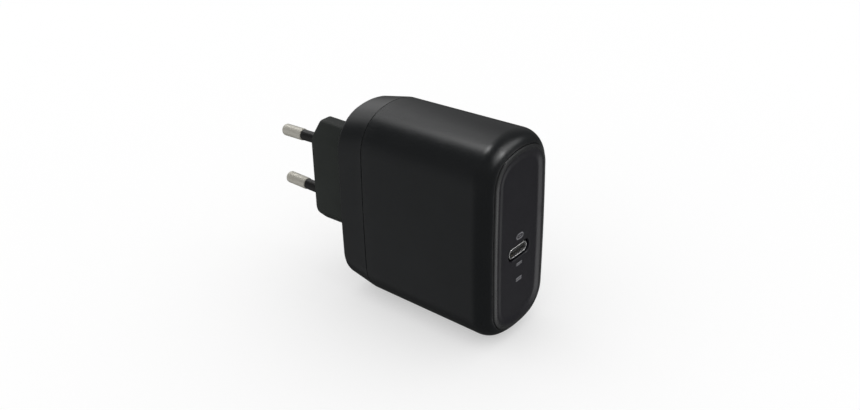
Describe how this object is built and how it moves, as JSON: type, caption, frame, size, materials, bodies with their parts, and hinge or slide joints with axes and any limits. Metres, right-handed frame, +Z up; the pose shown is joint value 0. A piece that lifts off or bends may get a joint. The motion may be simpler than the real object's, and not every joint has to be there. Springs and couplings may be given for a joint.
{
  "type": "usb wall charger",
  "caption": "Compact black mains charger: rounded case with a slim two-pin plug at the back and a USB-C port in a dished front panel.",
  "frame": {"origin": "midway between the two pins, on the plug face that meets the wall socket", "axes": "+Y into the wall socket, along the plug; the port faces -Y. +Z up, with the two pins one above the other. X is the thin direction of the case"},
  "size_m": [0.0322, 0.0949, 0.0644],
  "materials": {
    "case_plastic": "fine satin moulded black polycarbonate",
    "plug_plastic": "satin moulded black polycarbonate, a little greyer than the case",
    "sleeve_plastic": "smooth black insulating sleeve",
    "panel_plastic": "fine-textured black panel with a satin rim",
    "pin_metal": "satin nickel-plated brass",
    "usb_steel": "nickel-plated drawn steel",
    "tongue_plastic": "black glass-filled insulator",
    "contact_gold": "gold-plated contacts",
    "board": "green solder mask over glass-epoxy board",
    "strip_brass": "stamped brass strip",
    "ferrite": "ground grey ferrite",
    "choke_ferrite": "green-coated ferrite ring",
    "bobbin_plastic": "black moulded bobbin",
    "winding_tape": "yellow polyester tape round the winding",
    "copper_wire": "enamelled copper wire",
    "can_sleeve": "black shrink sleeve",
    "can_aluminium": "bare aluminium can",
    "fuse_plastic": "moulded fuse body",
    "box_plastic": "yellow moulded box",
    "disc_ceramic": "blue-coated ceramic disc",
    "barrier_film": "pale polyester insulating sheet",
    "chip_plastic": "black moulded package",
    "spreader_aluminium": "rolled aluminium sheet",
    "pad_rubber": "soft grey thermal pad"
  },
  "bodies": {
    "root": {"barrier_sheet": "barrier_film", "bridge_rectifier": "chip_plastic", "choke_core": "choke_ferrite", "choke_winding": "copper_wire", "front_panel": "panel_plastic", "fuse": "fuse_plastic", "heat_spreader": "spreader_aluminium", "line_contact": "strip_brass", "lower_pin": "pin_metal", "lower_pin_sleeve": "sleeve_plastic", "main_board": "board", "main_housing": "case_plastic", "mains_capacitor_front": "can_sleeve", "mains_capacitor_rear": "can_sleeve", "neutral_contact": "strip_brass", "optocoupler": "chip_plastic", "output_capacitor_lower": "can_aluminium", "output_capacitor_upper": "can_aluminium", "output_rectifier": "chip_plastic", "plug_body": "plug_plastic", "port_controller": "chip_plastic", "power_switch": "chip_plastic", "rear_cover": "case_plastic", "thermal_pad": "pad_rubber", "transformer_bobbin": "bobbin_plastic", "transformer_core_inner": "ferrite", "transformer_core_outer": "ferrite", "transformer_winding": "winding_tape", "upper_pin": "pin_metal", "upper_pin_sleeve": "sleeve_plastic", "usb_board": "board", "usb_contacts": "contact_gold", "usb_shell": "usb_steel", "usb_tongue": "tongue_plastic", "x_capacitor": "box_plastic", "y_capacitor": "disc_ceramic"}
  },
  "joints": []
}
